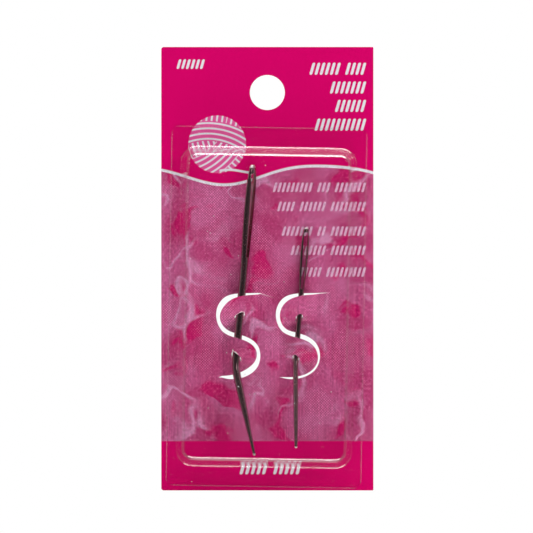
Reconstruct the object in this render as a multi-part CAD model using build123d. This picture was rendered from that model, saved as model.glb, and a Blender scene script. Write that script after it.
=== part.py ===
from build123d import *
import math
import os

# A hanging card of two bent-tip yarn needles under a clear blister.
# Millimetres. The origin is the centre of the hang hole, in the middle of the card's thickness.
# +Z is up, towards the top edge of the card. -Y is out of the printed face. +X is to the right.

# Card
card_width = 50.8
card_height = 106.2
card_thickness = 0.5
card_left_corner_radius = 0.6
card_right_corner_radius = 0.25
hang_hole_diameter = 8.4
hang_hole_drop = 10.9

# S-shaped cuts in the card, one behind each needle, and the tongues that each one frees
s_cut_width = 10.5
s_cut_height = 20.1
s_cut_drop = 58.1
large_s_shift = -7.0
small_s_shift = 7.3
needle_to_card_gap = 0.2
needle_to_tongue_gap = 0.2
tongue_spare_lift = 0.3

# Large needle
large_shaft_diameter = 1.9
large_head_width = 3.2
large_head_thickness = 1.7
large_head_length = 26.0
large_eye_length = 20.5
large_eye_width = 1.6
large_eye_foot_width = 0.9
large_eye_end_wall = 1.9
large_rise = 40.9
large_bend_drop = 7.9
large_bend_radius = 12.0
large_tip_length = 22.2
large_tip_diameter = 0.67
large_lean = 5.0
large_turn = 48.5

# Small needle
small_shaft_diameter = 1.28
small_head_width = 2.05
small_head_thickness = 1.15
small_head_length = 16.5
small_eye_length = 13.6
small_eye_width = 1.0
small_eye_foot_width = 0.6
small_eye_end_wall = 1.1
small_rise = 25.8
small_bend_drop = 7.05
small_bend_radius = 9.0
small_tip_length = 21.6
small_tip_diameter = 0.72
small_lean = 4.6
small_turn = 12.0

# Both needles are bent by the same angle, and their eyes flare towards both mouths.
bend_angle = 22.7
eye_flare_angle = 6.0

# Blister
blister_drop = 51.4
blister_shift = -0.2
blister_turn = 1.0
film_thickness = 0.3
dome_width = 42.0
dome_height = 76.4
dome_depth = 10.1
dome_corner_radius = 4.0
dome_edge_radius = 1.2
dome_foot_radius = 0.5
dome_draft_angle = 8.0
flange_width = 46.9
flange_height = 86.2
flange_corner_radius = 2.0

# How far every cutting shape runs past what it cuts
overrun = 1.0

# Each S cut is seen from the front. Across is a share of s_cut_width and up is a share of s_cut_height,
# both from the middle of the S. The card's side of the cut is the same on both.
upper_root_share = 0.455
lower_root_share = -0.364
card_side_upper_shares = [
    (0.455, 0.502),
    (0.0, 0.496),
    (-0.318, 0.446),
    (-0.477, 0.327),
    (-0.493, 0.190),
    (-0.364, 0.048),
]
card_side_lower_shares = [
    (0.455, -0.131),
    (0.507, -0.238),
    (0.425, -0.393),
    (0.136, -0.500),
    (-0.364, -0.506),
]

# The free edge of each tongue, which a lifted tongue draws back from the card
large_upper_tongue_shares = [
    (0.455, 0.485),
    (0.136, 0.470),
    (-0.136, 0.429),
    (-0.330, 0.339),
    (-0.416, 0.214),
    (-0.295, 0.083),
    (0.0, 0.012),
    (0.273, -0.042),
    (0.455, -0.131),
]
large_lower_tongue_shares = [
    (-0.364, 0.048),
    (-0.045, -0.033),
    (0.227, -0.083),
    (0.416, -0.190),
    (0.398, -0.298),
    (0.227, -0.393),
    (-0.045, -0.462),
    (-0.364, -0.486),
]
small_upper_tongue_shares = [
    (0.455, 0.490),
    (0.136, 0.473),
    (-0.136, 0.437),
    (-0.318, 0.365),
    (-0.409, 0.235),
    (-0.295, 0.085),
    (0.0, 0.025),
    (0.273, -0.031),
    (0.455, -0.131),
]
small_lower_tongue_shares = [
    (-0.364, 0.048),
    (-0.045, -0.027),
    (0.227, -0.075),
    (0.427, -0.188),
    (0.450, -0.313),
    (0.295, -0.430),
    (0.0, -0.492),
    (-0.364, -0.500),
]

# Past each tongue's root line the cut runs out to a point. The upper end comes first.
large_cut_point_shares = [(0.544, 0.497), (-0.449, -0.503)]
small_cut_point_shares = [(0.500, 0.498), (-0.430, -0.504)]

# A tongue stands out over the needle at the top of its lift band and is flat again at the foot of it.
# Up is a share of s_cut_height from the middle of the S.
upper_lift_band_shares = (0.365, 0.090)
lower_lift_band_shares = (-0.140, -0.410)
tongue_section_count = 20

# The lifted tongue in section: reach from the root line as a share of the whole reach, and lift as a
# share of the lift over the needle
tongue_bulge_shares = [(0.0, 0.0), (0.1, 0.12), (0.25, 0.6), (0.42, 1.0), (0.75, 1.36), (1.05, 1.48)]

# The needle's head in section: distance from its end as a share of head length, then how much of the
# head's width and thickness it has there
head_section_shares = [
    (0.0, 0.30, 0.40),
    (0.015, 0.50, 0.62),
    (0.06, 0.67, 0.82),
    (0.14, 0.86, 0.95),
    (0.25, 0.97, 1.0),
    (0.42, 1.0, 1.0),
    (0.62, 0.93, 1.0),
]
# Below its widest part the head runs out into the round shaft: distance, then how far it is from head
# to shaft.
head_runout_shares = [(0.80, 0.55), (0.92, 0.88), (1.0, 1.0)]

# The tapered tip in section: distance from the bend as a share of the tip, then how far its radius has
# gone from the shaft's to the tip's. The small needle keeps its thickness for longer.
large_tip_taper_shares = [(0.25, 0.10), (0.5, 0.40), (0.75, 0.74)]
small_tip_taper_shares = [(0.25, 0.03), (0.5, 0.16), (0.75, 0.48)]


def front_point(across, up):
    """A point of the front view, in the card's middle plane."""
    return Vector(across, 0, up)


def prism_through(face, reach):
    """A front-view outline run both ways through the card."""
    return extrude(face, amount=reach, dir=(0, 1, 0), both=True)


def plate(width, height, thickness, radius):
    """A rounded rectangle in the front view, its middle at the origin, with its back face at y = 0."""
    outline = Plane.XZ * RectangleRounded(width, height, radius)
    return extrude(outline, amount=thickness, dir=(0, -1, 0))


def s_point(s_shift, shares):
    """A point of an S cut from its shares across and up."""
    across, up = shares
    return front_point(s_shift + across * s_cut_width, up * s_cut_height - s_cut_drop)


def s_window(s_shift):
    """All that the S cut and its two tongues take out of the flat card."""
    upper = [s_point(s_shift, shares) for shares in card_side_upper_shares]
    lower = [s_point(s_shift, shares) for shares in card_side_lower_shares]
    edges = [
        Spline(*upper),
        Line(upper[-1], lower[-1]),
        Spline(*lower),
        Line(lower[0], upper[0]),
    ]
    return prism_through(make_face(edges), card_thickness)


def cut_end(s_shift, card_side, tongue_side, point):
    """The narrow end of an S cut, from the slit at a tongue's root line out to a point."""
    corners = [s_point(s_shift, shares) for shares in (card_side, tongue_side, point)]
    return prism_through(make_face(Polyline(*corners, close=True)), card_thickness)


def smooth_step(value):
    """0 up to 1 with no corner and no jump in curvature at either end."""
    held = min(1, max(0, value))
    return held**3 * (10 - 15 * held + 6 * held**2)


def bulge_curve(points):
    """Leaves the root line in the plane of the card and runs straight on at its free end."""
    away = Vector(math.copysign(1, points[-1].X - points[0].X), 0, 0)
    return Spline(*points, tangents=[away, points[-1] - points[-2]])


def tongue(s_shift, root_share, far_share, edge_shares, band_shares, lift):
    """One tongue: a sheet that bulges away from its root line over the needle and lies flat below it."""
    root = s_shift + root_share * s_cut_width
    reach = (far_share - root_share) * s_cut_width
    edge = [s_point(s_shift, shares) for shares in edge_shares]
    top = max(point.Z for point in edge) + overrun
    foot = min(point.Z for point in edge) - overrun
    band_top = band_shares[0] * s_cut_height - s_cut_drop
    band_foot = band_shares[1] * s_cut_height - s_cut_drop
    back = card_thickness / 2
    sections = []
    for index in range(tongue_section_count):
        up = top + (foot - top) * index / (tongue_section_count - 1)
        raised = lift * smooth_step((up - band_foot) / (band_top - band_foot))
        behind = [
            Vector(root + reach * along, back - raised * rise, up)
            for along, rise in tongue_bulge_shares
        ]
        ahead = [point - Vector(0, card_thickness, 0) for point in behind]
        edges = [
            bulge_curve(behind),
            Line(behind[-1], ahead[-1]),
            bulge_curve(ahead),
            Line(ahead[0], behind[0]),
        ]
        sections.append(make_face(edges))
    sheet = loft(sections)
    # The outline runs a little past the root line, where the sheet ends by itself.
    past_root = Vector(-math.copysign(overrun, reach), 0, 0)
    outline = [
        Spline(*edge),
        Line(edge[-1], edge[-1] + past_root),
        Line(edge[-1] + past_root, edge[0] + past_root),
        Line(edge[0] + past_root, edge[0]),
    ]
    return sheet & prism_through(make_face(outline), dome_depth)


def shares_between(start, finish, share):
    return start + (finish - start) * share


def rest_depth(shaft_diameter, head_width, head_thickness, turn):
    """How far a needle's axis lies in front of the card's printed face."""
    across = head_width / 2 * math.sin(math.radians(turn))
    through = head_thickness / 2 * math.cos(math.radians(turn))
    return max(shaft_diameter / 2, math.hypot(across, through)) + needle_to_card_gap


def needle(
    shaft_diameter,
    head_width,
    head_thickness,
    head_length,
    eye_length,
    eye_width,
    eye_foot_width,
    eye_end_wall,
    rise,
    bend_drop,
    bend_radius,
    tip_length,
    tip_diameter,
    tip_taper_shares,
):
    """A needle whose shaft stands on Z through the origin, with the tip bent towards -Y."""
    # Head: ellipses from the round shaft up to the small flat at its end
    sections = []
    for along, width_share, thickness_share in head_section_shares:
        outline = Ellipse(head_width / 2 * width_share, head_thickness / 2 * thickness_share)
        sections.append(Pos(0, 0, rise - along * head_length) * outline)
    widest = head_section_shares[-1][1] * head_width
    for along, gone in head_runout_shares:
        outline = Ellipse(
            shares_between(widest, shaft_diameter, gone) / 2,
            shares_between(head_thickness, shaft_diameter, gone) / 2,
        )
        sections.append(Pos(0, 0, rise - along * head_length) * outline)
    head = loft(sections)

    # Eye: a long slot that narrows towards the shaft and flares towards both faces
    eye_top = rise - eye_end_wall - eye_width / 2
    eye_foot = rise - eye_end_wall - eye_length + eye_foot_width / 2
    eye_outline = make_hull(
        (Pos(0, eye_top) * Circle(eye_width / 2) + Pos(0, eye_foot) * Circle(eye_foot_width / 2)).edges()
    )
    eye = extrude(Plane.XZ * eye_outline, amount=head_thickness, both=True, taper=-eye_flare_angle)

    # Shaft and bend, one wire
    tangent = bend_radius * math.tan(math.radians(bend_angle / 2))
    shaft_top = rise - head_length
    bend_start = Vector(0, 0, tangent - bend_drop)
    bend_corner = Vector(0, 0, -bend_drop)
    tip_way = Vector(0, -math.sin(math.radians(bend_angle)), -math.cos(math.radians(bend_angle)))
    bend_end = bend_corner + tip_way * tangent
    straight = Line(Vector(0, 0, shaft_top), bend_start)
    bend = TangentArc(bend_start, bend_end, tangent=(0, 0, -1))
    shaft = sweep(Plane(bend_start, z_dir=(0, 0, -1)) * Circle(shaft_diameter / 2), path=bend)
    shaft += extrude(
        Plane(straight @ 0, z_dir=(0, 0, -1)) * Circle(shaft_diameter / 2), amount=straight.length
    )

    # Tip: a taper with a round end, turned about its own axis
    tip_radius = tip_diameter / 2
    taper_length = tip_length - tangent - tip_radius
    profile_points = [Vector(shaft_diameter / 2, 0)]
    for along, gone in tip_taper_shares:
        radius = shares_between(shaft_diameter / 2, tip_radius, gone)
        profile_points.append(Vector(radius, taper_length * along))
    profile_points.append(Vector(tip_radius, taper_length))
    taper = Spline(*profile_points)
    end = Vector(0, taper_length + tip_radius)
    cap = CenterArc((0, taper_length), tip_radius, 0, 90)
    profile = make_face([taper, cap, Line(end, Vector(0, 0)), Line(Vector(0, 0), profile_points[0])])
    tip = revolve(Plane.XZ * profile, axis=Axis.Z)
    tip = Plane(bend_end, x_dir=(1, 0, 0), z_dir=tip_way) * tip

    return (head - eye) + shaft + tip


def place_needle(solid, s_shift, lean, turn, depth):
    """Turned about its shaft, leant in the front view and laid in front of the middle of its S cut."""
    turned = Rot(0, 0, turn) * solid
    leant = Rot(0, lean, 0) * turned
    return Pos(s_shift, -card_thickness / 2 - depth, -s_cut_drop) * leant


def needle_way(s_shift, lean, depth, shaft_diameter):
    """The space that a shaft and its gap take where it passes through the tongues."""
    radius = shaft_diameter / 2 + needle_to_tongue_gap
    return place_needle(Cylinder(radius, s_cut_height), s_shift, lean, 0, depth)


def needle_lift(depth, shaft_diameter):
    """How far a tongue's back stands out from flat where it passes over a needle."""
    over = depth + shaft_diameter / 2 + needle_to_tongue_gap
    return card_thickness + over + tongue_spare_lift


large_depth = rest_depth(large_shaft_diameter, large_head_width, large_head_thickness, large_turn)
small_depth = rest_depth(small_shaft_diameter, small_head_width, small_head_thickness, small_turn)

large_needle = place_needle(
    needle(
        large_shaft_diameter,
        large_head_width,
        large_head_thickness,
        large_head_length,
        large_eye_length,
        large_eye_width,
        large_eye_foot_width,
        large_eye_end_wall,
        large_rise,
        large_bend_drop,
        large_bend_radius,
        large_tip_length,
        large_tip_diameter,
        large_tip_taper_shares,
    ),
    large_s_shift,
    large_lean,
    large_turn,
    large_depth,
)
small_needle = place_needle(
    needle(
        small_shaft_diameter,
        small_head_width,
        small_head_thickness,
        small_head_length,
        small_eye_length,
        small_eye_width,
        small_eye_foot_width,
        small_eye_end_wall,
        small_rise,
        small_bend_drop,
        small_bend_radius,
        small_tip_length,
        small_tip_diameter,
        small_tip_taper_shares,
    ),
    small_s_shift,
    small_lean,
    small_turn,
    small_depth,
)

# Card: the flat sheet with its hang hole and S windows, then the tongues back in the windows
card_middle = hang_hole_drop - card_height / 2
card = Pos(0, 0, card_middle) * Box(card_width, card_thickness, card_height)
corners = card.edges().filter_by(Axis.Y).sort_by(Axis.X)
card = fillet(corners[:2], card_left_corner_radius)
corners = card.edges().filter_by(Axis.Y).sort_by(Axis.X)
card = fillet(corners[-2:], card_right_corner_radius)
card -= Plane.XZ * Cylinder(hang_hole_diameter / 2, card_thickness + overrun)
s_far_left_share = min(across for across, up in card_side_upper_shares)
s_far_right_share = max(across for across, up in card_side_lower_shares)
for s_shift, lean, depth, diameter, upper_shares, lower_shares, point_shares in (
    (
        large_s_shift,
        large_lean,
        large_depth,
        large_shaft_diameter,
        large_upper_tongue_shares,
        large_lower_tongue_shares,
        large_cut_point_shares,
    ),
    (
        small_s_shift,
        small_lean,
        small_depth,
        small_shaft_diameter,
        small_upper_tongue_shares,
        small_lower_tongue_shares,
        small_cut_point_shares,
    ),
):
    lift = needle_lift(depth, diameter)
    way = needle_way(s_shift, lean, depth, diameter)
    card -= s_window(s_shift)
    upper = tongue(
        s_shift, upper_root_share, s_far_left_share, upper_shares, upper_lift_band_shares, lift
    )
    lower = tongue(
        s_shift, lower_root_share, s_far_right_share, lower_shares, lower_lift_band_shares, lift
    )
    card += upper - way
    card += lower - way
    card -= cut_end(s_shift, card_side_upper_shares[0], upper_shares[0], point_shares[0])
    card -= cut_end(s_shift, card_side_lower_shares[-1], lower_shares[-1], point_shares[1])

# Blister: a drafted dome with rounded edges on a flat flange, all one thin film
domes = []
for inset in (0, film_thickness):
    dome_base = Plane.XZ * RectangleRounded(
        dome_width - 2 * inset, dome_height - 2 * inset, dome_corner_radius - inset
    )
    dome = extrude(dome_base, amount=dome_depth - inset, dir=(0, -1, 0), taper=dome_draft_angle)
    face_edges = dome.faces().sort_by(Axis.Y)[0].edges()
    domes.append(fillet(face_edges, dome_edge_radius - inset))
dome_outside, dome_inside = domes
flange = plate(flange_width, flange_height, film_thickness, flange_corner_radius)
blister = flange + dome_outside
foot_edges = blister.edges().filter_by_position(Axis.Y, -film_thickness, -film_thickness)
foot_edges = foot_edges.filter_by(lambda edge: edge not in flange.edges())
blister = fillet(foot_edges, dome_foot_radius) - dome_inside
blister = (
    Pos(blister_shift, -card_thickness / 2, -blister_drop) * Rot(0, blister_turn, 0) * blister
)

os.makedirs("parts", exist_ok=True)
for name, solid in (
    ("card", card),
    ("blister", blister),
    ("large_needle", large_needle),
    ("small_needle", small_needle),
):
    box = solid.bounding_box()
    print(name, "volume", round(solid.volume, 2), "low", box.min, "high", box.max)
    export_step(solid, f"parts/{name}.step")
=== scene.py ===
# %% [markdown]
# # Dressing a carded pair of yarn needles
#
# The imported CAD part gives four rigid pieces: a printed card, a clear blister, a large and a small
# needle with bent tips. This lesson keeps their places and gives them what the eye expects: varnished
# print, white board at every cut, drawn steel and thin glossy film. All lengths are in metres, but for
# places in a pattern, which are in mm. +Z is up the card, and the printed face looks along -Y.

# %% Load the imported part
import math

import bpy
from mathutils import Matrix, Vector


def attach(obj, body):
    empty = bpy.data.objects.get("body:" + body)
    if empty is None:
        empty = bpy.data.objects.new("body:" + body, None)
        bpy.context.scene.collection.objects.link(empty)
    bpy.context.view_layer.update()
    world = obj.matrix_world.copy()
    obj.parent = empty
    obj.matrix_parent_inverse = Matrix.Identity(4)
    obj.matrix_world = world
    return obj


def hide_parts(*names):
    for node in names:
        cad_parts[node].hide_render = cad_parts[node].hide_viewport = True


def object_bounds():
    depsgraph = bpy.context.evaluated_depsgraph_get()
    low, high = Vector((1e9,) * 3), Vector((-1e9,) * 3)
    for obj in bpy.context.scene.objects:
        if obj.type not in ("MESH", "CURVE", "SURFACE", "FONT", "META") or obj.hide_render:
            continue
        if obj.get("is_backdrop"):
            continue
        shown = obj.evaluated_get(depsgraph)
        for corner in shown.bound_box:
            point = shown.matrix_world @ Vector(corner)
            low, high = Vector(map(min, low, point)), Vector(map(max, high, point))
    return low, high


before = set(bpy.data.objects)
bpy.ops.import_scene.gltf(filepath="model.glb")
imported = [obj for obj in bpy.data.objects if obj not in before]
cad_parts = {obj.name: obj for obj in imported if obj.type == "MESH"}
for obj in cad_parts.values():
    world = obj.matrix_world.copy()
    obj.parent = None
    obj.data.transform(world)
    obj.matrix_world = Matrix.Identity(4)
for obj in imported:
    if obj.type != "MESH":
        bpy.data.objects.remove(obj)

MM = 0.001
cad_corners = [list(corner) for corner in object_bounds()]
print("CAD box in mm:", [[round(value / MM, 2) for value in corner] for corner in cad_corners])

# %% [markdown]
# ## Camera
#
# The card was photographed from straight in front and from far off, so nothing in the picture shrinks
# with distance. An orthographic camera does the same. A long lens would come close, but would need its
# distance tuned for the same result.

# %% Place the camera
VIEW_WIDTH = 127.65 * MM
VIEW_CENTRE = Vector((-0.2 * MM, 0, -41.67 * MM))
CAMERA_DISTANCE = 600 * MM

camera_data = bpy.data.cameras.new("camera")
camera_data.type = "ORTHO"
camera_data.ortho_scale = VIEW_WIDTH
camera = bpy.data.objects.new("camera", camera_data)
bpy.context.scene.collection.objects.link(camera)
camera.location = VIEW_CENTRE + Vector((0, -CAMERA_DISTANCE, 0))
camera.rotation_euler = (math.radians(90), 0, 0)
bpy.context.scene.camera = camera
bpy.context.scene.view_settings.view_transform = "Standard"
print("Camera sees", round(VIEW_WIDTH / MM, 1), "mm across")

# %% [markdown]
# ## Shader arithmetic
#
# Patterns are easier to read as sums than as wires. A Signal is one socket of a node tree, and adding,
# multiplying or comparing Signals adds the Math nodes for it. A Finish is a material whose nodes all
# come from one method. A mask is a Signal that is 1 where something is and 0 where it isn't. Named
# settings of a noise are its scale, detail, roughness and distortion, in that order, and a span is the
# pair of values that a ramp runs between.


# %% Signals
class Signal:
    """A number that varies over a surface. Arithmetic on it adds Math nodes."""

    def __init__(self, finish, socket):
        self.finish = finish
        self.socket = socket

    def maths(self, operation, *others):
        return self.finish.maths(operation, self, *others)

    def __add__(self, other):
        return self.maths("ADD", other)

    def __sub__(self, other):
        return self.maths("SUBTRACT", other)

    def __mul__(self, other):
        return self.maths("MULTIPLY", other)

    def __truediv__(self, other):
        return self.maths("DIVIDE", other)

    def __radd__(self, other):
        return self.finish.maths("ADD", other, self)

    def __rsub__(self, other):
        return self.finish.maths("SUBTRACT", other, self)

    def __abs__(self):
        return self.maths("ABSOLUTE")

    def root(self):
        return self.maths("SQRT")

    def power(self, exponent):
        return self.maths("POWER", exponent)

    def sine(self):
        return self.maths("SINE")

    def lowest(self, other):
        return self.maths("MINIMUM", other)

    def highest(self, other):
        return self.maths("MAXIMUM", other)

    def fraction(self):
        return self.maths("FRACT")


def any_of(masks):
    """One mask for wherever at least one of several masks is."""
    joined = masks[0]
    for mask in masks[1:]:
        joined = joined.highest(mask)
    return joined


print("Signals are ready")


# %% Finishes
class Finish:
    """A material, or the studio's world, whose nodes are written as expressions."""

    def __init__(self, owner):
        owner.use_nodes = True
        self.owner = owner
        self.tree = owner.node_tree
        self.tree.nodes.clear()

    def node(self, kind, output, settings=None, inputs=None):
        """Adds a node, makes its settings, feeds its sockets and returns one of its outputs."""
        made = self.tree.nodes.new(kind)
        for name, value in (settings or {}).items():
            setattr(made, name, value)
        for name, value in (inputs or {}).items():
            if isinstance(value, Signal):
                self.tree.links.new(value.socket, made.inputs[name])
            else:
                made.inputs[name].default_value = value
        return Signal(self, made.outputs[output]) if output is not None else None

    def maths(self, operation, *terms):
        return self.node("ShaderNodeMath", 0, {"operation": operation}, dict(enumerate(terms)))

    def vector(self, operation, *terms):
        return self.node("ShaderNodeVectorMath", 0, {"operation": operation}, dict(enumerate(terms)))

    def combine(self, x, y, z):
        return self.node("ShaderNodeCombineXYZ", 0, None, {0: x, 1: y, 2: z})

    def parts(self, vector):
        """The three numbers of a vector."""
        split = self.node("ShaderNodeSeparateXYZ", 0, None, {0: vector}).socket.node
        return [Signal(self, socket) for socket in split.outputs]

    def place_in_mm(self):
        """Where a point of the piece is, in mm."""
        where = self.node("ShaderNodeTexCoord", "Object")
        return self.vector("MULTIPLY", where, (1 / MM, 1 / MM, 1 / MM))

    def ramp(self, value, low, high, at_low=0.0, at_high=1.0):
        """Runs smoothly from at_low to at_high while value runs from low to high."""
        settings = {"interpolation_type": "SMOOTHSTEP"}
        inputs = {"Value": value, 1: low, 2: high, 3: at_low, 4: at_high}
        return self.node("ShaderNodeMapRange", 0, settings, inputs)

    def blend(self, share, first, second):
        """A colour between two colours."""
        return self.node("ShaderNodeMix", 2, {"data_type": "RGBA"}, {0: share, 6: first, 7: second})

    def noise(self, where, scale, detail=2.0, roughness=0.5, distortion=0.0):
        inputs = {"Vector": where, "Scale": scale, "Detail": detail}
        inputs |= {"Roughness": roughness, "Distortion": distortion}
        return self.node("ShaderNodeTexNoise", "Fac", None, inputs)

    def cells(self, where, scale):
        return self.node("ShaderNodeTexVoronoi", "Distance", None, {"Vector": where, "Scale": scale})

    def bump(self, height, distance, strength=1.0):
        inputs = {"Height": height, "Distance": distance, "Strength": strength}
        return self.node("ShaderNodeBump", "Normal", None, inputs)

    def principled(self, inputs):
        return self.node("ShaderNodeBsdfPrincipled", 0, None, inputs)

    def show(self, shader, output="ShaderNodeOutputMaterial"):
        """Joins a shader to the output, which ends the finish."""
        self.node(output, None, None, {"Surface": shader})
        print(self.owner.name, "has", len(self.tree.nodes), "nodes")


def srgb(red, green, blue):
    """A colour picked on a screen, as the linear numbers that a shader needs."""
    screen = [channel / 255 for channel in (red, green, blue)]
    linear = [c / 12.92 if c <= 0.04045 else ((c + 0.055) / 1.055) ** 2.4 for c in screen]
    return (*linear, 1.0)


BLACK, WHITE = srgb(0, 0, 0), srgb(255, 255, 255)
print("Finishes are ready")

# %% [markdown]
# ## Studio
#
# The picture is a catalogue shot on pure white. White fills the view, but what the shiny pieces see in
# front of them is nearly black, and that keeps the print deep and the steel dark. A world can do both,
# because its shader can tell the camera's own rays from the rest. Behind the card it glows again, so
# that the film shows in views from the side.

# %% World
FRONT_GLOW, SIDE_GLOW = 0.03, 0.16
BACK_GLOW, BACK_SIDE_GLOW = 0.9, 0.25
FRONT_SPAN = (-1.0, -0.25)
BACK_SPAN = (-0.1, 0.5)
BACK_BREADTH = (0.12, 0.28)

studio = Finish(bpy.data.worlds.new("studio"))
bpy.context.scene.world = studio.owner
sky_x, sky_y, _ = studio.parts(studio.node("ShaderNodeTexCoord", "Generated"))
sky_glow = studio.ramp(sky_y, *FRONT_SPAN, FRONT_GLOW, SIDE_GLOW)
back_glow = studio.ramp(abs(sky_x), *BACK_BREADTH, BACK_GLOW, BACK_SIDE_GLOW) - SIDE_GLOW
sky_glow = sky_glow + studio.ramp(sky_y, *BACK_SPAN) * back_glow
seen = studio.node("ShaderNodeLightPath", "Is Camera Ray")
sky_strength = sky_glow + seen * (1 - sky_glow)
sky = studio.node("ShaderNodeBackground", 0, None, {"Color": WHITE, "Strength": sky_strength})
studio.show(sky, "ShaderNodeOutputWorld")

# %% [markdown]
# ### Soft boxes
#
# Area lights stand in for a photographer's soft boxes. The key light comes from the right, and is kept
# out of all reflections, as a polarising filter does. The other boxes stand above, below, behind and to
# both sides, well off the camera's axis, so they only glint in curved edges.

# %% Boxes round the card
CARD_MIDDLE = Vector((0, 0, -42 * MM))
NOT_MIRRORED = ("key_box",)
# For each box: its place from the middle of the card, its width and height, and its glow.
SOFT_BOXES = {
    "top_box": ((0.1, -0.22, 0.86), 1.2, 0.44, 4.4),
    "key_box": ((0.72, -0.5, 0.42), 0.3, 0.3, 13.0),
    "right_strip": ((0.85, -0.2, 0.3), 0.06, 0.5, 1.4),
    "left_strip": ((-0.85, -0.12, 0.3), 0.08, 0.5, 1.2),
    "head_box": ((0.36, -0.74, 0.24), 0.14, 0.1, 4.5),
    "low_box": ((0, -0.42, -0.75), 1.0, 0.32, 4.3),
    "back_box": ((0.3, 0.8, 0.5), 0.5, 0.5, 1.5),
}


def soft_box(name, place, width, height, glow):
    """An area light that faces the middle of the card. glow is its brightness in a mirror."""
    data = bpy.data.lights.new(name, "AREA")
    data.shape = "RECTANGLE"
    data.size = width
    data.size_y = height
    data.energy = glow * width * height * math.pi
    box = bpy.data.objects.new(name, data)
    bpy.context.scene.collection.objects.link(box)
    box.location = CARD_MIDDLE + Vector(place)
    box.rotation_euler = (-Vector(place)).to_track_quat("-Z", "Y").to_euler()
    box.visible_camera = False
    box.visible_glossy = name not in NOT_MIRRORED
    print(name, "radiates", round(data.energy, 2), "W")


for name, settings in SOFT_BOXES.items():
    soft_box(name, *settings)

# %% [markdown]
# ### Floor
#
# The floor is a plain pale sheet under the card. It casts no shadow, so the low box shines through it,
# and it stays out of reflections. Far out, where no box reaches, it glows a little. Without that, its
# far part would be a grey band in views from the side.

# %% Lay the floor
FLOOR_SIZE = 3.0
FLOOR_DULL, FLOOR_PALE = srgb(236, 236, 237), srgb(243, 243, 243)
FLOOR_MOTTLE = 9.0
FLOOR_ROUGHNESS = 0.9
FAR_GLOW = srgb(212, 212, 212)
FAR_SPAN = (0.1, 1.1)

bpy.ops.object.select_all(action="DESELECT")
bpy.ops.mesh.primitive_plane_add(size=FLOOR_SIZE, location=(0, 0, cad_corners[0][2]))
floor = bpy.context.object
floor.name = "floor"
floor.visible_glossy = False
floor.visible_shadow = False
floor_paint = Finish(bpy.data.materials.new("pale_floor"))
floor_where = floor_paint.node("ShaderNodeTexCoord", "Object")
floor_x, floor_y, _ = floor_paint.parts(floor_where)
floor_reach = (floor_x * floor_x + floor_y * floor_y).root()
floor_inputs = {
    "Base Color": floor_paint.blend(floor_paint.noise(floor_where, FLOOR_MOTTLE), FLOOR_DULL, FLOOR_PALE),
    "Roughness": FLOOR_ROUGHNESS,
    "Emission Color": floor_paint.blend(floor_paint.ramp(floor_reach, *FAR_SPAN), BLACK, FAR_GLOW),
    "Emission Strength": 1.0,
}
floor_paint.show(floor_paint.principled(floor_inputs))
floor.data.materials.append(floor_paint.owner)
floor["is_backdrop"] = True
print("The floor lies at the card's lower edge")

# %% [markdown]
# ## Card
#
# The real card is white board, printed on one side and varnished, then die-cut. Its solid already has
# the hang hole, the S cuts and the lifted tongues, so the CAD node stays and only its finish is made.
# The print could be an image, but arithmetic on the height and breadth of the card stays sharp at any
# distance, and every motif can be moved by one number.

# %% Places on the card
board = Finish(bpy.data.materials.new("printed_board"))
board_mm = board.place_in_mm()
across, depth, up = board.parts(board_mm)
_, facing, _ = board.parts(board.node("ShaderNodeNewGeometry", "Normal"))
flat_where = board.combine(across, 0.0, up)
EDGE_BLUR = 0.09


def inside(reach, limit, blur=EDGE_BLUR):
    """A mask for wherever reach is under a limit, with a soft edge."""
    return board.ramp(reach, limit + blur, limit - blur)


print("Places on the card are read in mm, and printed edges are", 2 * EDGE_BLUR, "mm soft")

# %% [markdown]
# ### Bare board
#
# The print lies only on what looks forwards. Cut edges and the back are bare board, and so is a ragged rim
# where each needle was pushed through the tongues and broke the print. The walls of those holes get
# painted shade, a dull dark pink, where they close tight round the needle. The distance from each needle's
# axis tells where all this is, so it needs no painting by hand.

# %% Where the board is bare
# For each needle: its axis's place across and in depth, its lean, the radius of its holes, and how far
# the print is torn round them.
THREADINGS = ((-7.0, -1.774, 5.0, 1.15, 0.7), (7.3, -1.09, 4.6, 0.84, 0.15))
S_MIDDLE = -58.1
TONGUE_REACH, TONGUE_BLUR = 9.0, 0.01
RIM_BLUR = 0.03
HOLE_SHADE_FROM, HOLE_SHADE_FULL = 0.04, 0.01
RAGGED_NOISE, RAGGED_MIDDLE = (2.2, 3.0, 0.7), 0.4
TURNED_FROM, TURNED_FULL = 0.10, 0.22

ragged = board.noise(board_mm, *RAGGED_NOISE) - RAGGED_MIDDLE


def threading(axis_across, axis_depth, lean, hole, rim_width):
    """The torn rim of the holes that one needle passes through, and the painted shade on their walls, as
    masks.
    """
    slope = math.radians(lean)
    sideways = (across - axis_across) * math.cos(slope) - (up - S_MIDDLE) * math.sin(slope)
    outwards = depth - axis_depth
    away = (sideways * sideways + outwards * outwards).root()
    rim = inside(away - ragged * rim_width, hole, RIM_BLUR)
    return rim, board.ramp(away, hole + HOLE_SHADE_FROM, hole + HOLE_SHADE_FULL)


rims, hole_walls = zip(*(threading(*needle) for needle in THREADINGS))
near_tongues = board.ramp(abs(up - S_MIDDLE), TONGUE_REACH, TONGUE_REACH - TONGUE_BLUR)
torn = any_of(rims) * near_tongues
# Painted shade on the walls of the holes round each needle.
hole_wall_shade = any_of(hole_walls) * near_tongues
is_print = board.ramp(facing, -TURNED_FROM, -TURNED_FULL) * (1 - torn)
is_back = board.ramp(facing, TURNED_FROM, TURNED_FULL)
print("The print is torn round", len(rims), "needles")

# %% [markdown]
# ### Header, stripe and foot
#
# The card has a plain header and foot in one strong pink, and a wavy pale stripe under the header. Two
# sine waves, one half as long as the other, give the stripe its uneven swell. Masks for each area come
# first, and their colours are laid over each other later, as inks are.

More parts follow.
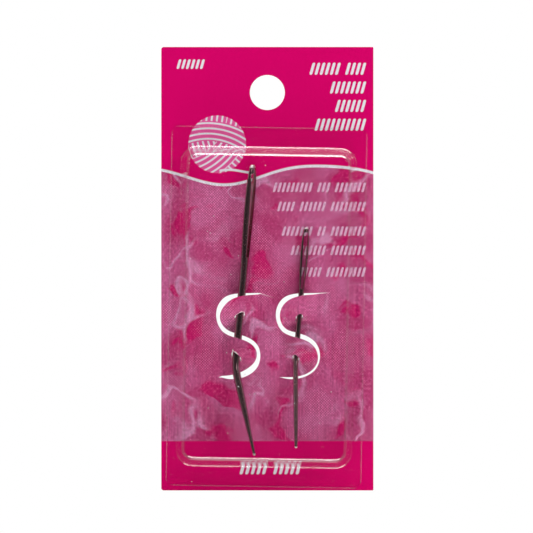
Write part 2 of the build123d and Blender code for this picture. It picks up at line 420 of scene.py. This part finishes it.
# %% Plain areas
PLAIN_PINK = srgb(200, 0, 95)
STRIPE_GREY = srgb(216, 212, 220)
STRIPE_MIDDLE, STRIPE_HALF = -19.54, 0.33
SWELL_LENGTH, SWELL_CREST, SWELL_HEIGHT = 48, 13.3, 2.24
RIPPLE_LENGTH, RIPPLE_CREST, RIPPLE_HEIGHT = 24, 2.3, 0.34
FOOT_TOP = -83.5


def wave(length, crest, height):
    """A wave along the card, with a crest at one place across."""
    return ((across - crest) * (2 * math.pi / length) + math.pi / 2).sine() * height


swell = wave(SWELL_LENGTH, SWELL_CREST, SWELL_HEIGHT)
ripple = wave(RIPPLE_LENGTH, RIPPLE_CREST, RIPPLE_HEIGHT)
above_stripe = up - swell - ripple - STRIPE_MIDDLE
is_header = board.ramp(above_stripe, -EDGE_BLUR, EDGE_BLUR)
is_stripe = inside(abs(above_stripe), STRIPE_HALF)
is_plain = is_header.highest(inside(up, FOOT_TOP))
print("The stripe is", 2 * STRIPE_HALF, "mm wide")

# %% [markdown]
# ### Cloudy field
#
# Between header and foot lies a soft field like felted wool: two close pinks, deeper patches and pale
# wisps. All are noise, and their places are first pushed about by another noise, so that their shapes
# look drifted and not round. Wisps follow the lines where a noise passes its middle value, which are
# long and thin.

# %% Field of drifting colours
FIELD_MID, FIELD_PALE = srgb(170, 56, 105), srgb(183, 88, 134)
FIELD_DEEP = srgb(182, 8, 90)
WISP_PALE = srgb(200, 134, 172)
DRIFT_SCALE, DRIFT_DETAIL, DRIFT_REACH = 0.09, 2.0, 14.0
CLOUD_NOISE, CLOUD_SPAN = (0.085, 4.0, 0.55), (0.38, 0.66)
PATCH_NOISE, PATCH_SPAN, PATCH_SHARE = (0.13, 2.0, 0.5, 0.4), (0.56, 0.64), 0.85
RIDGE_NOISE, RIDGE_HALF = (0.075, 2.0, 0.5, 0.3), 0.042
WISP_NOISE, WISP_SPAN, WISP_SHARE = (0.075, 1.0), (0.46, 0.66), 0.9

drift_inputs = {"Vector": flat_where, "Scale": DRIFT_SCALE, "Detail": DRIFT_DETAIL}
drift = board.node("ShaderNodeTexNoise", "Color", None, drift_inputs)
drifted = board.vector("ADD", flat_where, board.vector("MULTIPLY", drift, (DRIFT_REACH, 0.0, DRIFT_REACH)))
clouds = board.noise(drifted, *CLOUD_NOISE)
field = board.blend(board.ramp(clouds, *CLOUD_SPAN), FIELD_MID, FIELD_PALE)
patches = board.noise(drifted, *PATCH_NOISE)
field = board.blend(board.ramp(patches, *PATCH_SPAN, 0.0, PATCH_SHARE), field, FIELD_DEEP)
ridges = abs(board.noise(drifted, *RIDGE_NOISE) - 0.5)
wisp_room = board.noise(flat_where, *WISP_NOISE)
wisps = board.ramp(ridges, RIDGE_HALF, 0.0) * board.ramp(wisp_room, *WISP_SPAN)
field = board.blend(wisps * WISP_SHARE, field, WISP_PALE)
print("The field drifts by up to", DRIFT_REACH, "mm")

# %% [markdown]
# ### Rows of whip stitches
#
# Rows of slanted stitches with round ends decorate the card, like whip stitches along a hem. One stitch
# is drawn in a cell of the row's pitch, and taking the fraction of the place along the row repeats it
# without end. The row is then cut to its length, and whole stitches are left out for the gaps.

# %% One row
SLANT = 0.28
STITCH_SHARE = 0.56
CELL_BLUR = 0.01


def stitch_row(height, tall, pitch, right, *groups):
    """A mask of one row of slanted stitches with round ends. groups are counts, from the left."""
    half = pitch * STITCH_SHARE / 2
    rise = up - height
    along = (right - across + rise * SLANT) / pitch
    run = (along.fraction() - 0.5) * pitch
    over = (abs(rise) - (tall / 2 - half)).highest(0.0)
    row = inside((run * run + over * over).root(), half, EDGE_BLUR / 2)
    total = sum(groups) + len(groups) - 1
    row = row * board.ramp(abs(along - total / 2), total / 2, total / 2 - CELL_BLUR)
    gap = 0
    for group in reversed(groups[1:]):
        gap += group
        row = row * board.ramp(abs(along - (gap + 0.5)), 0.5 - CELL_BLUR, 0.5)
        gap += 1
    return row


print("A stitch fills", STITCH_SHARE, "of its pitch")

# %% All rows
INK, FAINT_INK = srgb(216, 213, 220), srgb(212, 172, 198)
ROWS_RIGHT, CORNER_RIGHT, FOOT_RIGHT = 23.6, -15.0, 8.2
# How tall and how far apart the stitches are, in each kind of row.
BOLD, CORNER, FOOT, FINE = (2.9, 1.22), (2.3, 1.12), (3.3, 1.34), (2.3, 1.06)

bold = any_of([
    stitch_row(5.7, *BOLD, ROWS_RIGHT, 6, 4),
    stitch_row(1.2, *BOLD, ROWS_RIGHT, 7),
    stitch_row(-3.2, *BOLD, ROWS_RIGHT, 6),
    stitch_row(-7.7, *BOLD, ROWS_RIGHT, 10),
    stitch_row(6.8, *CORNER, CORNER_RIGHT, 6),
    stitch_row(-89.8, *FOOT, FOOT_RIGHT, 5, 5),
])
fine = any_of([
    stitch_row(-22.7, *FINE, ROWS_RIGHT, 9, 3, 7),
    stitch_row(-27.3, *FINE, ROWS_RIGHT, 4, 6, 8),
    stitch_row(-33.2, *FINE, ROWS_RIGHT, 7, 2, 8),
    stitch_row(-37.8, *FINE, ROWS_RIGHT, 8, 8),
    stitch_row(-43.0, *FINE, ROWS_RIGHT, 5, 9),
])
print("Bold and fine rows end", ROWS_RIGHT, "mm right of the card's middle")

# %% [markdown]
# ### Ball of yarn
#
# A round ball of yarn sits across the header's left side. Its strands are rings about a point far
# outside the ball, of which only short arcs show. Two bands of strands in other directions cross the
# first ones, as on a wound ball, and a wavy loose end runs off to the right.

# %% Wind the ball
BALL_ACROSS, BALL_UP, BALL_RADIUS = -12.0, -12.4, 6.9
BALL_PINK = srgb(214, 84, 146)
STRAND_PITCH, STRAND_HALF, STRAND_BEND = 1.25, 0.21, 13.0
FIRST_TURN = 20
# For each crossing band: its direction, how far it is off the ball's middle, and half its width.
CROSSING_BANDS = ((140, 2.5, 3.1), (260, 3.0, 2.4))

ball_x = across - BALL_ACROSS
ball_z = up - BALL_UP
in_ball = inside((ball_x * ball_x + ball_z * ball_z).root(), BALL_RADIUS)


def from_ring(turn, offset):
    """How far a point is outside a large ring that crosses the ball."""
    dx = ball_x - math.cos(math.radians(turn)) * STRAND_BEND
    dz = ball_z - math.sin(math.radians(turn)) * STRAND_BEND
    return (dx * dx + dz * dz).root() - (STRAND_BEND + offset)


def strands(ring):
    """A mask of strands that follow a ring at a steady pitch."""
    return inside(abs((ring / STRAND_PITCH).fraction() - 0.5) * STRAND_PITCH, STRAND_HALF)


ball_lines = strands(from_ring(FIRST_TURN, 0.0))
for turn, offset, half_width in CROSSING_BANDS:
    ring = from_ring(turn, offset)
    band = inside(abs(ring), half_width)
    ball_lines = ball_lines * (1 - band) + strands(ring) * band
print("The ball has", 1 + len(CROSSING_BANDS), "layers of strands")

# %% Loose end of the yarn
END_RISE, END_HALF = 0.45, 0.27
END_TURN, END_WAVE = 0.55, 0.35
END_LEFT, END_RIGHT = (0.4, 0.7), (9.4, 9.1)

end_line = abs(ball_z + BALL_RADIUS - END_RISE - (ball_x * END_TURN).sine() * END_WAVE)
loose_end = inside(end_line, END_HALF) * board.ramp(ball_x, *END_LEFT) * board.ramp(ball_x, *END_RIGHT)
ball_ink = (in_ball * ball_lines).highest(loose_end)
print("The loose end is", 2 * END_HALF, "mm thick")

# %% [markdown]
# ### Hairlines and nicks
#
# The board was flexed when the needles went in, and that broke the varnish a little beyond each cut: two
# pale hairlines show the white board there. Two dark lines are drawn too. One is painted shade in the fold
# of the large needle's upper tongue, and the other is a short dark line lower down, right of the middle.
# All are straight and fade out. Tiny white nicks come from handling, and sit at the middles of a few large
# random cells.

# %% Small damage
HAIRLINE_HALF = 0.07
FAINT_SHARE = 0.45
HAIRLINE_START = (-0.1, 0.1)
NICK_SCALE, NICK_SPAN = 0.12, (0.028, 0.014)


def hairline(x0, z0, x1, z1):
    """A thin line from one place to another, in mm, which fades out towards its far end."""
    length = math.hypot(x1 - x0, z1 - z0)
    way_x, way_z = (x1 - x0) / length, (z1 - z0) / length
    run = (across - x0) * way_x + (up - z0) * way_z
    off = abs((across - x0) * -way_z + (up - z0) * way_x)
    line = board.ramp(off, HAIRLINE_HALF + EDGE_BLUR, HAIRLINE_HALF)
    return line * board.ramp(run, *HAIRLINE_START) * board.ramp(run, length, 0.0)


pale_lines = any_of([
    hairline(-1.7, -48.15, 2.1, -49.3) * FAINT_SHARE,
    hairline(12.3, -48.1, 15.4, -47.9),
])
# The second dark line is painted shade along the fold of the large needle's upper tongue.
dark_lines_and_fold_shade = any_of([hairline(6.0, -68.3, 2.4, -68.6), hairline(-8.4, -54.2, -11.3, -55.1)])
nicks = board.ramp(board.cells(flat_where, NICK_SCALE), *NICK_SPAN)
print("Hairlines are", 2 * HAIRLINE_HALF, "mm wide where they start")

# %% [markdown]
# ### Screen and inks
#
# Offset print is never one flat colour. Close up it is a screen of dots with a little noise from the
# paper. Two sine waves at right angles give the dots, which are stronger in some places than in others.
# The inks are then laid over each other in order: field, plain pink, ball, stripe, stitches and the dark
# lines, one of which is painted shade in a tongue's fold.

# %% Screen of dots
SCREEN_PITCH = 0.64
SCREEN_ROOM, SCREEN_SPAN, SCREEN_LEAST = (0.12, 1.0), (0.4, 0.6), 0.25
PAPER_NOISE = (1.7, 3.0, 0.85)
DOT_SCREEN, DOT_PAPER, DOT_SPAN = 1.1, 2.6, (0.1, 1.0)

screen_turn = 2 * math.pi / SCREEN_PITCH
screen = (across * screen_turn).sine() * (up * screen_turn).sine()
paper_noise = board.noise(flat_where, *PAPER_NOISE) - 0.5
screen = screen * board.ramp(board.noise(flat_where, *SCREEN_ROOM), *SCREEN_SPAN, SCREEN_LEAST, 1.0)
dots = board.ramp(screen * DOT_SCREEN + paper_noise * DOT_PAPER, *DOT_SPAN)
print("The screen has a dot every", SCREEN_PITCH, "mm")

# %% Inks in order
DOT_PALE, DOT_SHARE = srgb(226, 150, 188), 0.45
FINE_SHARE = 0.9
DARK_LINE_AND_FOLD_SHADE, DARK_SHARE = srgb(90, 20, 50), 0.6

print_colour = board.blend(dots * DOT_SHARE, field, DOT_PALE)
inks = [
    (is_plain, PLAIN_PINK),
    (in_ball * is_header, BALL_PINK),
    (ball_ink, INK),
    (is_stripe, STRIPE_GREY),
    (bold, INK),
    (fine * FINE_SHARE, FAINT_INK),
    (dark_lines_and_fold_shade * DARK_SHARE, DARK_LINE_AND_FOLD_SHADE),
]
for mask, ink in inks:
    print_colour = board.blend(mask, print_colour, ink)
print(len(inks), "inks lie over the field")

# %% [markdown]
# ### Grain
#
# The screen, the paper and faint upright streaks from the press's rollers also change how bright the
# print is, by a few hundredths on the plain parts and more in the field. One Hue Saturation node does
# that for all inks at once. The streaks grow stronger towards the foot.

# %% Brightness of the print
GRAIN_SCREEN, GRAIN_PAPER = 0.3, 2.0
STREAK_SQUEEZE, STREAK_NOISE = (3.2, 0.0, 0.07), (1.0, 2.0, 0.7)
STREAK_HEIGHTS, STREAK_LEAST, STREAK_MOST = (-20.0, -75.0), 0.3, 1.1
PLAIN_CALM = 0.85

streaks = board.noise(board.vector("MULTIPLY", board_mm, STREAK_SQUEEZE), *STREAK_NOISE) - 0.5
streaks = streaks * board.ramp(up, *STREAK_HEIGHTS, STREAK_LEAST, STREAK_MOST)
grain = screen * GRAIN_SCREEN + paper_noise * GRAIN_PAPER + streaks
grain = 1.0 + grain * (1 - is_plain * PLAIN_CALM)
grain_inputs = {"Value": grain, "Color": print_colour}
print_colour = board.node("ShaderNodeHueSaturation", 0, None, grain_inputs)
print("Plain parts take", round(1 - PLAIN_CALM, 2), "of the grain")

# %% [markdown]
# ### Board under the print
#
# Where the print ends, the board shows as warm white pulp with long fibres, and its grey back has a few
# darker specks. The hole walls get painted shade in a dull dark pink. The mask of the print then chooses
# between this and the inks.

# %% Bare board and the whole colour
BOARD_WHITE, BOARD_GREY = srgb(246, 243, 240), srgb(226, 222, 216)
DAMAGE_SHARE = 0.85
FIBRE_SQUEEZE, FIBRE_NOISE, FIBRE_SPAN = (1.0, 1.0, 0.35), (3.5, 4.0, 0.7), (0.35, 0.7)
SPECK, SPECK_SCALE, SPECK_SPAN, SPECK_SHARE = srgb(150, 140, 128), 1.1, (0.07, 0.03), 0.35
HOLE_SHADE_PINK, HOLE_SHADE_SHARE = srgb(140, 62, 92), 0.8

print_colour = board.blend(pale_lines.highest(nicks) * DAMAGE_SHARE, print_colour, BOARD_WHITE)
fibres = board.noise(board.vector("MULTIPLY", board_mm, FIBRE_SQUEEZE), *FIBRE_NOISE)
bare = board.blend(board.ramp(fibres, *FIBRE_SPAN), BOARD_WHITE, BOARD_GREY)
specks = board.ramp(board.cells(board_mm, SPECK_SCALE), *SPECK_SPAN)
bare = board.blend(specks * is_back * SPECK_SHARE, bare, SPECK)
# Painted shade: the hole walls are darkened to a dull pink.
bare = board.blend(hole_wall_shade * HOLE_SHADE_SHARE, bare, HOLE_SHADE_PINK)
card_colour = board.blend(is_print, bare, print_colour)
print("The card's colour is ready")

# %% [markdown]
# ### Shine of the card
#
# The varnish is a thin clear coat that waves a little and holds some dust, and it lies only on the
# print. Bare board is dull and fibrous. The board's own shine is kept very low, because the pink would
# turn grey under it.

# %% Varnish
VARNISH_WAVE, WAVE_HEIGHT = (0.35, 2.0), 0.012
VARNISH_DUST, DUST_HEIGHT = (7.0, 2.0, 0.7), 0.0025
FIBRE_HEIGHT, CARD_BUMP = 0.02, 0.6
BOARD_ROUGHNESS, PRINT_SMOOTHS = 0.85, 0.5
BOARD_SHINE, COAT_SHARE, COAT_ROUGHNESS = 0.04, 0.2, 0.1

varnish_wave = board.noise(flat_where, *VARNISH_WAVE)
varnish_dust = board.noise(flat_where, *VARNISH_DUST)
card_height = is_print * (varnish_wave * WAVE_HEIGHT + varnish_dust * DUST_HEIGHT)
card_height = card_height + (1 - is_print) * fibres * FIBRE_HEIGHT
card_inputs = {
    "Base Color": card_colour,
    "Roughness": BOARD_ROUGHNESS - is_print * PRINT_SMOOTHS,
    "Specular IOR Level": BOARD_SHINE,
    "Coat Weight": is_print * COAT_SHARE,
    "Coat Roughness": COAT_ROUGHNESS,
    "Normal": board.bump(card_height, MM, CARD_BUMP),
}
board.show(board.principled(card_inputs))
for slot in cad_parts["card"].material_slots:
    slot.material = board.owner

# %% [markdown]
# ## Needles
#
# Each needle is one drawn steel wire, stamped flat at the eye, ground at the tip and plated. Close up it
# has fine lines along its length from the drawing die, small pits, and a mirror finish between them. The
# solids have the shape, so this finish goes straight on them. The lines are noise that is stretched along
# the wire, which stays nearly upright on the card. The steel's pink cast is a painted reflection of the
# pink card. Both ends get a painted highlight: a near-white, more satin base colour at the head and at the
# tip.

# %% Marks on the steel
LINE_SQUEEZE, LINE_NOISE = (9.0, 9.0, 0.35), (1.0, 3.0, 0.6)
SMEAR_SQUEEZE, SMEAR_NOISE = (1.0, 1.0, 0.2), (0.9, 2.0)
PIT_SCALE, PIT_SPAN = 2.6, (0.16, 0.05)
# For each needle: the side of the card that it is on, and the heights of its head and its tip.
HIGHLIGHT_ENDS = ((-1, -18.0, -86.35), (1, -32.65, -84.65))
HEAD_BLUR, TIP_BLUR, SIDE_BLUR = 0.3, 0.25, 0.5

steel = Finish(bpy.data.materials.new("drawn_steel"))
steel_mm = steel.place_in_mm()
drawn_lines = steel.noise(steel.vector("MULTIPLY", steel_mm, LINE_SQUEEZE), *LINE_NOISE)
smears = steel.noise(steel.vector("MULTIPLY", steel_mm, SMEAR_SQUEEZE), *SMEAR_NOISE)
pits = steel.ramp(steel.cells(steel_mm, PIT_SCALE), *PIT_SPAN)
steel_across, _, steel_up = steel.parts(steel_mm)


def end_highlights(side, head, tip):
    """A mask for the painted highlight at the head and the tip of one needle."""
    head_end = steel.ramp(steel_up, head - HEAD_BLUR, head + HEAD_BLUR)
    tip_end = steel.ramp(steel_up, tip, tip - TIP_BLUR)
    return head_end.highest(tip_end) * steel.ramp(steel_across * side, -SIDE_BLUR, SIDE_BLUR)


# Painted highlight: a near-white base colour at the head and the tip of each needle.
highlighted = any_of([end_highlights(*needle) for needle in HIGHLIGHT_ENDS])
print("Both ends of", len(HIGHLIGHT_ENDS), "needles are ground")

# %% Steel
# The pink cast in both steel tones is a painted reflection of the pink card. Which of the two tones shows
# varies at random.
STEEL_DARK, STEEL_PALE = srgb(168, 130, 138), srgb(202, 162, 168)
PIT_DARK, PIT_SHARE = srgb(70, 62, 58), 0.5
HIGHLIGHT_PALE = srgb(250, 246, 242)
MIRROR_ROUGHNESS, LINE_ROUGHNESS, PIT_ROUGHNESS, HIGHLIGHT_ROUGHNESS = 0.12, 0.14, 0.2, 0.18
LINE_HEIGHT, PIT_DEPTH, STEEL_BUMP = 0.006, 0.016, 0.7

steel_colour = steel.blend(smears, STEEL_DARK, STEEL_PALE)
steel_colour = steel.blend(pits * PIT_SHARE, steel_colour, PIT_DARK)
steel_roughness = MIRROR_ROUGHNESS + drawn_lines * LINE_ROUGHNESS + pits * PIT_ROUGHNESS
steel_inputs = {
    "Base Color": steel.blend(highlighted, steel_colour, HIGHLIGHT_PALE),
    "Metallic": 1.0,
    "Roughness": steel_roughness + highlighted * HIGHLIGHT_ROUGHNESS,
    "Normal": steel.bump(drawn_lines * LINE_HEIGHT - pits * PIT_DEPTH, MM, STEEL_BUMP),
}
steel.show(steel.principled(steel_inputs))
for name in ("large_needle", "small_needle"):
    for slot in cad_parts[name].material_slots:
        slot.material = steel.owner

# %% [markdown]
# ## Blister film
#
# The blister is one sheet of clear plastic, drawn hot over a mould and heat-sealed to the card. A thin
# sheet needs no bending of light: what is seen of it is the glint in its rounded edges, its steep walls,
# the cut rim of its flange and a few scuffs. It is modelled again here, from a rounded face that is
# inset forwards, because the beveled edges then have the even rows of faces that a glint needs. Its
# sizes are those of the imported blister.

# %% Blister sizes
FILM_SHIFT = -0.2 * MM
FILM_DROP = 51.4 * MM
FILM_TURN = math.radians(1.0)
CARD_FACE = -0.25 * MM
FILM_BACK_GAP = 0.01 * MM
FILM_THICKNESS = 0.28 * MM
FLANGE_WIDTH, FLANGE_HEIGHT, FLANGE_CORNER = 46.9 * MM, 86.2 * MM, 2.0 * MM
DOME_WIDTH, DOME_HEIGHT, DOME_CORNER = 42.0 * MM, 76.4 * MM, 4.0 * MM
DOME_DEPTH = 10.1 * MM
DOME_DRAFT = math.radians(8.0)
EDGE_RADIUS, FOOT_RADIUS = 1.2 * MM, 0.5 * MM
CORNER_STEPS, FOLD_STEPS = 8, 9
NEAR = 0.01 * MM
print("The dome is", round(DOME_DEPTH / MM, 1), "mm deep")


# %% Modelling helpers
def rounded_face(name, width, height, corner):
    """A face in the card's plane that looks along -Y, with its corners cut round."""
    bpy.ops.object.select_all(action="DESELECT")
    bpy.ops.mesh.primitive_plane_add(size=1, rotation=(math.pi / 2, 0, 0))
    made = bpy.context.object
    made.name = name
    made.scale = (width, height, 1)
    bpy.ops.object.transform_apply(location=True, rotation=True, scale=True)
    bpy.ops.object.mode_set(mode="EDIT")
    bpy.ops.mesh.select_all(action="SELECT")
    bpy.ops.mesh.bevel(affect="VERTICES", offset=corner, segments=CORNER_STEPS)
    bpy.ops.object.mode_set(mode="OBJECT")
    return made


def pick(piece, kind, wanted):
    """Selects the points, edges or faces whose points all pass a test, and stays in edit mode."""
    bpy.ops.object.mode_set(mode="EDIT")
    bpy.ops.mesh.select_mode(type=kind)
    bpy.ops.mesh.select_all(action="DESELECT")
    bpy.ops.object.mode_set(mode="OBJECT")
    points = piece.data.vertices
    kinds = {"VERT": points, "EDGE": piece.data.edges, "FACE": piece.data.polygons}
    chosen = 0
    for part in kinds[kind]:
        ends = [part.index] if kind == "VERT" else part.vertices
        part.select = all(wanted(points[index].co) for index in ends)
        chosen += part.select
    bpy.ops.object.mode_set(mode="EDIT")
    return chosen


print("Modelling helpers are ready")

# %% [markdown]
# ### Flange and dome
#
# The sheet starts as the outline of the dome's foot. Its edges are drawn out flat for the flange, whose
# corners come out too round and are shrunk back towards their sharp corners. Then the face inside is
# inset and pushed forwards in one step, which makes the drafted walls and the flat front.

# %% Flange
film = rounded_face("film", DOME_WIDTH, DOME_HEIGHT, DOME_CORNER)
bpy.ops.object.mode_set(mode="EDIT")
bpy.ops.mesh.select_mode(type="EDGE")
bpy.ops.mesh.select_all(action="SELECT")
bpy.ops.mesh.extrude_edges_move()
wider, taller = FLANGE_WIDTH / DOME_WIDTH, FLANGE_HEIGHT / DOME_HEIGHT
bpy.ops.transform.resize(value=(wider, 1, taller), center_override=(0, 0, 0))
bpy.ops.object.mode_set(mode="OBJECT")
print("The flange was drawn out from the dome's foot:", len(film.data.polygons), "faces")


# %% Flange corners
def in_dome(point):
    """True for points of the dome's outline or inside it, and not for the flange's rim."""
    return abs(point.x) < DOME_WIDTH / 2 + NEAR and abs(point.z) < DOME_HEIGHT / 2 + NEAR


def tighten_corner(side, end):
    """Shrinks one rounded corner of the rim towards the sharp corner that its two sides would meet in."""
    sharp = (side * FLANGE_WIDTH / 2, 0, end * FLANGE_HEIGHT / 2)
    reach_x, reach_z = DOME_CORNER * wider + NEAR, DOME_CORNER * taller + NEAR

    def in_corner(point):
        return abs(point.x - sharp[0]) < reach_x and abs(point.z - sharp[2]) < reach_z

    count = pick(film, "VERT", lambda point: in_corner(point) and not in_dome(point))
    shrink = FLANGE_CORNER / DOME_CORNER
    bpy.ops.transform.resize(value=(shrink / wider, 1, shrink / taller), center_override=sharp)
    bpy.ops.object.mode_set(mode="OBJECT")
    print("Tightened a corner of", count, "points")


for side in (-1, 1):
    for end in (-1, 1):
        tighten_corner(side, end)

# %% Dome
pick(film, "FACE", in_dome)
wall_run = DOME_DEPTH - FILM_THICKNESS - FILM_BACK_GAP
bpy.ops.mesh.inset(thickness=wall_run * math.tan(DOME_DRAFT), depth=wall_run)
bpy.ops.object.mode_set(mode="OBJECT")
print("Blister has", len(film.data.polygons), "faces before its edges are rounded")

# %% [markdown]
# ### Rounded folds
#
# The two sharp folds are rounded next. The front edge gets the larger radius, because the film hardly
# stretches there, and the foot a small one, where the film is pressed into the corner between the mould
# and the card. A bevel's offset is measured along the faces, so it is the radius times the tangent of
# half the turn.

# %% Round the folds
HALF_TURN = (math.pi / 2 - DOME_DRAFT) / 2
FRONT_Y = min(point.co.y for point in film.data.vertices)


def round_fold(level, radius):
    """Rounds the closed outline at one depth of the film."""
    count = pick(film, "EDGE", lambda point: abs(point.y - level) < NEAR and in_dome(point))
    reach = radius * math.tan(HALF_TURN)
    bpy.ops.mesh.bevel(offset=reach, segments=FOLD_STEPS, affect="EDGES")
    bpy.ops.object.mode_set(mode="OBJECT")
    print("Rounded", count, "edges by", round(radius / MM, 2), "mm")


round_fold(FRONT_Y, EDGE_RADIUS)
round_fold(0.0, FOOT_RADIUS)

# %% [markdown]
# ### Thickness and place
#
# The sheet gets its thickness from a Solidify modifier, which keeps it even round every fold. Doubled
# points are merged first, or the new wall would split there. Last, the film is turned and moved to its
# place on the card, and both are applied, so that its object stays at the origin.

# %% Thicken the sheet
MERGE = 0.001 * MM
SMOOTH_UNDER = math.radians(35)

bpy.ops.object.select_all(action="DESELECT")
film.select_set(True)
bpy.context.view_layer.objects.active = film
bpy.ops.object.mode_set(mode="EDIT")
bpy.ops.mesh.select_all(action="SELECT")
bpy.ops.mesh.remove_doubles(threshold=MERGE)
bpy.ops.mesh.normals_make_consistent(inside=False)
bpy.ops.object.mode_set(mode="OBJECT")
if max(film.data.polygons, key=lambda face: face.area).normal.y > 0:
    film.data.flip_normals()
thickening = film.modifiers.new("wall", "SOLIDIFY")
thickening.thickness = FILM_THICKNESS
thickening.offset = -1
thickening.use_even_offset = True
bpy.ops.object.modifier_apply(modifier="wall")
bpy.ops.object.shade_smooth_by_angle(angle=SMOOTH_UNDER)
print("The film has", len(film.data.polygons), "faces")

# %% Put the film on the card
film.rotation_euler = (0, FILM_TURN, 0)
film.location = (FILM_SHIFT, CARD_FACE - FILM_BACK_GAP - FILM_THICKNESS, -FILM_DROP)
bpy.ops.object.transform_apply(location=True, rotation=True, scale=True)
for axis in "xyz":
    values = [getattr(point.co, axis) for point in film.data.vertices]
    print(axis, "from", round(min(values) / MM, 3), "to", round(max(values) / MM, 3))

# %% [markdown]
# ## Film finish
#
# The film is a mix of a see-through shader and a reflecting one. The share of reflection is small face
# on and grows towards the edges, as it does on any clear plastic, and a power of the facing weight
# gives that curve. The folds get a larger share, but less in the long side walls, which were drawn
# evenly and stay clearer.

# %% What the film mirrors
FLAT_SHARE = 0.012
FOLD_FACING, FOLD_SHARE = (0.985, 0.72), 0.24
SIDE_RISE, SIDE_LEAST = (0.1, 0.5), 0.35
EDGE_BLEND, EDGE_POWER, EDGE_SHARE = 0.5, 7.0, 0.6

film_finish = Finish(bpy.data.materials.new("clear_film"))
film_mm = film_finish.place_in_mm()
_, film_facing, film_rise = film_finish.parts(film_finish.node("ShaderNodeNewGeometry", "Normal"))
flatness = abs(film_facing)
edge_on = film_finish.node("ShaderNodeLayerWeight", "Facing", None, {"Blend": EDGE_BLEND})
folded = film_finish.ramp(flatness, *FOLD_FACING, 0.0, FOLD_SHARE)
folded = folded * film_finish.ramp(abs(film_rise), *SIDE_RISE, SIDE_LEAST, 1.0)
reflection = FLAT_SHARE + folded + edge_on.power(EDGE_POWER) * EDGE_SHARE
print("The flat front mirrors", FLAT_SHARE, "of the light")

# %% [markdown]
# ### Marks on the film
#
# Some of the film is not clear but faintly white. The walls are clouded a little where the sheet was
# stretched, and the top wall is made much whiter, as painted sheen from the light above. Packing left
# faint scuffs and some dust, and the cut rim of the flange scatters light. The distance from the flange's
# sides, turned with the film, finds that rim.

# %% Haze, scuffs, dust and rim
SCUFF_SQUEEZE, SCUFF_NOISE, SCUFF_SPAN, SCUFF_SHARE = (1.0, 1.0, 3.0), (0.5, 4.0, 0.7), (0.60, 0.75), 0.02
DUST_SCALE, DUST_SPAN, DUST_SHARE = 0.28, (0.045, 0.02), 0.6
RIM_SPAN, RIM_SHARE = (-0.32, -0.1), 0.045
WALL_FACING = (0.6, 0.2)
WALL_RISE, WALL_HAZE, TOP_SHEEN = (0.2, 0.9), 0.008, 0.075
MARK_MOST = 0.8

scuffs = film_finish.noise(film_finish.vector("MULTIPLY", film_mm, SCUFF_SQUEEZE), *SCUFF_NOISE)
scuffs = film_finish.ramp(scuffs, *SCUFF_SPAN) * SCUFF_SHARE
dust = film_finish.ramp(film_finish.cells(film_mm, DUST_SCALE), *DUST_SPAN)
film_x, _, film_z = film_finish.parts(film_mm)
film_x, film_z = film_x - FILM_SHIFT / MM, film_z + FILM_DROP / MM
lean_cos, lean_sin = math.cos(FILM_TURN), math.sin(FILM_TURN)
off_side = abs(film_x * lean_cos - film_z * lean_sin) - FLANGE_WIDTH / MM / 2
off_end = abs(film_x * lean_sin + film_z * lean_cos) - FLANGE_HEIGHT / MM / 2
cut_rim = film_finish.ramp(off_side.highest(off_end), *RIM_SPAN)
# Faint haze on all walls, and painted sheen on the top wall, which faces the light above.
wall_haze_and_top_sheen = film_finish.ramp(flatness, *WALL_FACING)
wall_haze_and_top_sheen = wall_haze_and_top_sheen * film_finish.ramp(film_rise, *WALL_RISE, WALL_HAZE, TOP_SHEEN)
mark = (wall_haze_and_top_sheen + scuffs + dust * DUST_SHARE + cut_rim * RIM_SHARE).lowest(MARK_MOST)
print("The top wall is clouded by", TOP_SHEEN)

# %% [markdown]
# ### Clear film
#
# What mirrors and what is white share one shader: its metallic weight says which of the two it is at
# each place. The film waves slightly, as any sheet does that cooled on a mould. A Mix Shader then adds
# all this to plain transparency.

# %% Mix the film
FILM_ROUGHNESS, MARK_ROUGHNESS = 0.05, 0.6
FILM_WAVE, FILM_WAVE_HEIGHT, FILM_BUMP = (0.12, 2.0), 0.35, 0.5

film_height = film_finish.noise(film_mm, *FILM_WAVE) * FILM_WAVE_HEIGHT
shiny = {
    "Base Color": WHITE,
    "Metallic": reflection / (reflection + mark),
    "Roughness": FILM_ROUGHNESS + mark * MARK_ROUGHNESS,
    "Normal": film_finish.bump(film_height, MM, FILM_BUMP),
}
clear = film_finish.node("ShaderNodeBsdfTransparent", 0, None, {"Color": WHITE})
film_mix = {0: (reflection + mark).lowest(1.0), 1: clear, 2: film_finish.principled(shiny)}
film_finish.show(film_finish.node("ShaderNodeMixShader", 0, None, film_mix))
film.data.materials.clear()
film.data.materials.append(film_finish.owner)
film.name = "clear_blister"
film.data.name = "clear_blister"
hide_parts("blister")
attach(film, "blister")

# %% [markdown]
#
# Both boxes are kept, and the largest overshoot of the dressed model past the imported part's box is
# printed. The dressed model has to stay inside the imported part's box.

# %% Keep both boxes
dressed_corners = [list(corner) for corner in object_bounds()]
low_over = max(a - b for a, b in zip(cad_corners[0], dressed_corners[0]))
high_over = max(b - a for a, b in zip(cad_corners[1], dressed_corners[1]))
print("Largest overshoot in mm:", round(max(low_over, high_over) / MM, 4))
